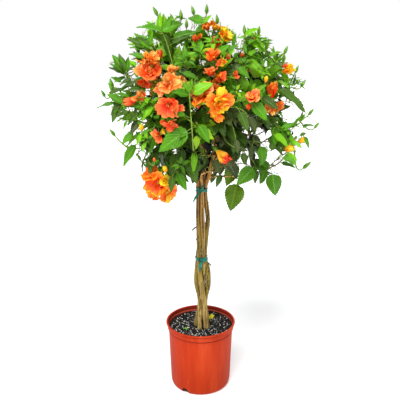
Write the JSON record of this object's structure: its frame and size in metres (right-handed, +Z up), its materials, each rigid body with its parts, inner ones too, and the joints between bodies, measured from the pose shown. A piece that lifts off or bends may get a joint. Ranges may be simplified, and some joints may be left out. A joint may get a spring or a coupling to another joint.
{
  "type": "potted hibiscus standard",
  "caption": "Flowering hibiscus grown as a small tree: braided bare stems tied with ribbon, a round leafy head with double blooms and buds, standing in a plastic nursery pot.",
  "frame": {"origin": "centre of the pot's flat underside, at the foot mount", "axes": "+Z up along the trunk; -Y is the side seen in front, +X its right-hand side"},
  "size_m": [0.7599, 0.644, 1.3574],
  "materials": {
    "pot": "satin",
    "potting_mix": "matte",
    "stem_bark": "matte",
    "bough_bark": "matte",
    "tie": "satin",
    "foliage": "satin"
  },
  "bodies": {
    "root": {"pot": "pot", "potting_mix": "potting_mix", "stem_left": "stem_bark", "stem_front": "stem_bark", "stem_right": "stem_bark", "stem_back": "stem_bark", "tie_lower": "tie", "tie_upper": "tie", "bough_left_outer": "bough_bark", "bough_left_lower": "bough_bark", "bough_left_upper": "bough_bark", "bough_front_outer": "bough_bark", "bough_front_lower": "bough_bark", "bough_front_upper": "bough_bark", "bough_right_outer": "bough_bark", "bough_right_lower": "bough_bark", "bough_right_upper": "bough_bark", "bough_back_outer": "bough_bark", "bough_back_lower": "bough_bark", "bough_back_upper": "bough_bark", "bough_low_right": "bough_bark", "drooping_right": "foliage", "crown_top": "foliage", "crown_upper_1": "foliage", "crown_upper_2": "foliage", "crown_upper_3": "foliage", "crown_upper_4": "foliage", "crown_upper_5": "foliage", "crown_middle_1": "foliage", "crown_middle_2": "foliage", "crown_middle_3": "foliage", "crown_middle_4": "foliage", "crown_middle_5": "foliage", "crown_middle_6": "foliage", "crown_middle_7": "foliage", "crown_lower_1": "foliage", "crown_lower_2": "foliage", "crown_lower_3": "foliage", "crown_lower_4": "foliage"}
  },
  "joints": []
}
